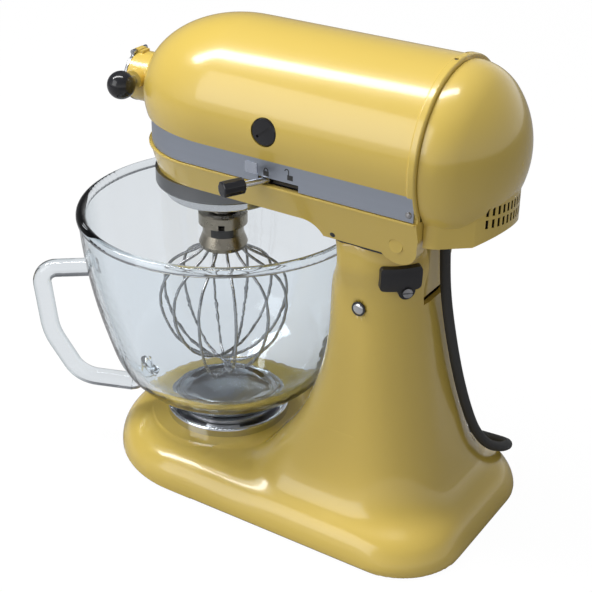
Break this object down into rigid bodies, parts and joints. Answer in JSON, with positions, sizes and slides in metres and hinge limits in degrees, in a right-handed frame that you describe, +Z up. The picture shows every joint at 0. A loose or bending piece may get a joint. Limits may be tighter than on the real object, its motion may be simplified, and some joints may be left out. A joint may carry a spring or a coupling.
{
  "type": "stand mixer",
  "caption": "Tilt-head stand mixer with a glass bowl on a bayonet clamp, a wire whip on a planetary drive, a front attachment hub, side levers and a mains cord.",
  "frame": {"origin": "on the table under the middle of the mixer's own box, the mains cord left out", "axes": "+Z up, -Y towards the front with the attachment hub, +Y towards the motor end, +X towards the lock lever's side"},
  "size_m": [0.3755, 0.3586, 0.3536],
  "materials": {
    "yellow_enamel": "glossy enamel",
    "foot_rubber": "matte",
    "clamp_steel": "polished",
    "bright_steel": "polished",
    "screw_steel": "satin",
    "trim_aluminium": "satin",
    "black_moulding": "satin",
    "knob_black": "glossy",
    "cord_rubber": "matte",
    "prong_brass": "polished",
    "carbon": "matte",
    "lamination_steel": "satin",
    "copper": "satin",
    "bracket_alloy": "cast",
    "gear_steel": "machined",
    "gear_bronze": "machined",
    "bowl_glass": "clear"
  },
  "bodies": {
    "pedestal": {"pedestal": "yellow_enamel", "rubber_feet": "foot_rubber", "bowl_clamp_plate": "clamp_steel", "clamp_plate_screws": "screw_steel", "hinge_pin": "yellow_enamel", "side_plug": "clamp_steel", "terminal_cover": "black_moulding", "terminal_cover_screw": "screw_steel", "neck_adjusting_screw": "screw_steel", "latch_keeper": "screw_steel", "power_cord": "cord_rubber", "power_cord_coil": "cord_rubber", "cord_tie": "black_moulding", "power_plug": "black_moulding", "plug_prongs": "prong_brass"},
    "head": {"motor_housing": "yellow_enamel", "lower_gear_case": "yellow_enamel", "case_screws": "screw_steel", "end_cover": "yellow_enamel", "end_cover_screws": "screw_steel", "trim_band": "trim_aluminium", "trim_screws": "screw_steel", "brush_caps": "knob_black", "brush_holders": "black_moulding", "carbon_brushes": "carbon", "field_core": "lamination_steel", "field_coils": "copper", "front_bearing_bracket": "bracket_alloy", "rear_bearing_bracket": "bracket_alloy", "ring_gear": "gear_steel", "drip_ring": "trim_aluminium", "center_shaft_bush": "gear_bronze", "control_plate": "black_moulding", "cord_gland": "black_moulding", "hub_cover_pin": "clamp_steel"},
    "armature": {"armature_shaft": "gear_steel", "armature_core": "lamination_steel", "commutator": "copper", "cooling_fan": "black_moulding"},
    "worm_gear": {"worm_wheel": "gear_bronze", "worm_wheel_shaft": "gear_steel"},
    "planetary": {"planetary_carrier": "bright_steel", "center_shaft": "gear_steel", "center_gear": "gear_steel"},
    "beater": {"beater_shaft": "bright_steel", "beater_pinion": "gear_steel", "beater_drive_pin": "bright_steel", "whip_ferrule": "bright_steel", "whip_wires": "bright_steel", "whip_cross_wires": "bright_steel"},
    "hub_drive": {"hub_drive_shaft": "gear_steel"},
    "hub_cap": {"hub_cover": "clamp_steel"},
    "hub_knob": {"attachment_knob": "knob_black", "attachment_screw": "clamp_steel"},
    "speed_control": {"speed_lever": "clamp_steel", "speed_knob": "knob_black"},
    "lock_control": {"lock_lever": "clamp_steel", "lock_knob": "knob_black"},
    "bowl": {"glass_bowl": "bowl_glass", "bowl_base": "trim_aluminium"}
  },
  "joints": [
    {"name": "head_tilt", "type": "hinge", "parent": "pedestal", "child": "head", "pos_m": [0, 0.1175, 0.237], "axis": [-1, 0, 0], "range_deg": [0, 50], "deforming": ["power_cord"]},
    {"name": "bowl_twist", "type": "hinge", "parent": "pedestal", "child": "bowl", "pos_m": [0, -0.0535, 0.033], "axis": [0, 0, 1], "range_deg": [0, 40]},
    {"name": "motor_spin", "type": "hinge", "parent": "head", "child": "armature", "pos_m": [0, 0.0465, 0.2915], "axis": [0, 1, 0], "continuous": true},
    {"name": "worm_gear_spin", "type": "hinge", "parent": "head", "child": "worm_gear", "pos_m": [0.026, -0.0286, 0.2915], "axis": [0, 0, 1], "continuous": true},
    {"name": "planetary_spin", "type": "hinge", "parent": "head", "child": "planetary", "pos_m": [0, -0.0535, 0.221], "axis": [0, 0, 1], "continuous": true},
    {"name": "beater_spin", "type": "hinge", "parent": "planetary", "child": "beater", "pos_m": [0.02042, -0.04089, 0.221], "axis": [0, 0, 1], "continuous": true},
    {"name": "hub_drive_spin", "type": "hinge", "parent": "head", "child": "hub_drive", "pos_m": [0, -0.0935, 0.2912], "axis": [0, 1, 0], "continuous": true},
    {"name": "hub_cover_open", "type": "hinge", "parent": "head", "child": "hub_cap", "pos_m": [0, -0.1291, 0.3103], "axis": [-1, 0, 0], "range_deg": [0, 100]},
    {"name": "hub_knob_turn", "type": "hinge", "parent": "head", "child": "hub_knob", "pos_m": [0.025, -0.1175, 0.2955], "axis": [1, 0, 0], "continuous": true},
    {"name": "speed_slide", "type": "slide", "parent": "head", "child": "speed_control", "axis": [0, 1, 0], "range_m": [0, 0.04]},
    {"name": "lock_slide", "type": "slide", "parent": "head", "child": "lock_control", "axis": [0, 1, 0], "range_m": [0, 0.016]}
  ],
  "couplings": [
    {"joint": "worm_gear_spin", "follows": "motor_spin", "ratio": 0.041667},
    {"joint": "planetary_spin", "follows": "motor_spin", "ratio": -0.013889},
    {"joint": "beater_spin", "follows": "motor_spin", "ratio": 0.041667},
    {"joint": "hub_drive_spin", "follows": "motor_spin", "ratio": 0.027778}
  ]
}
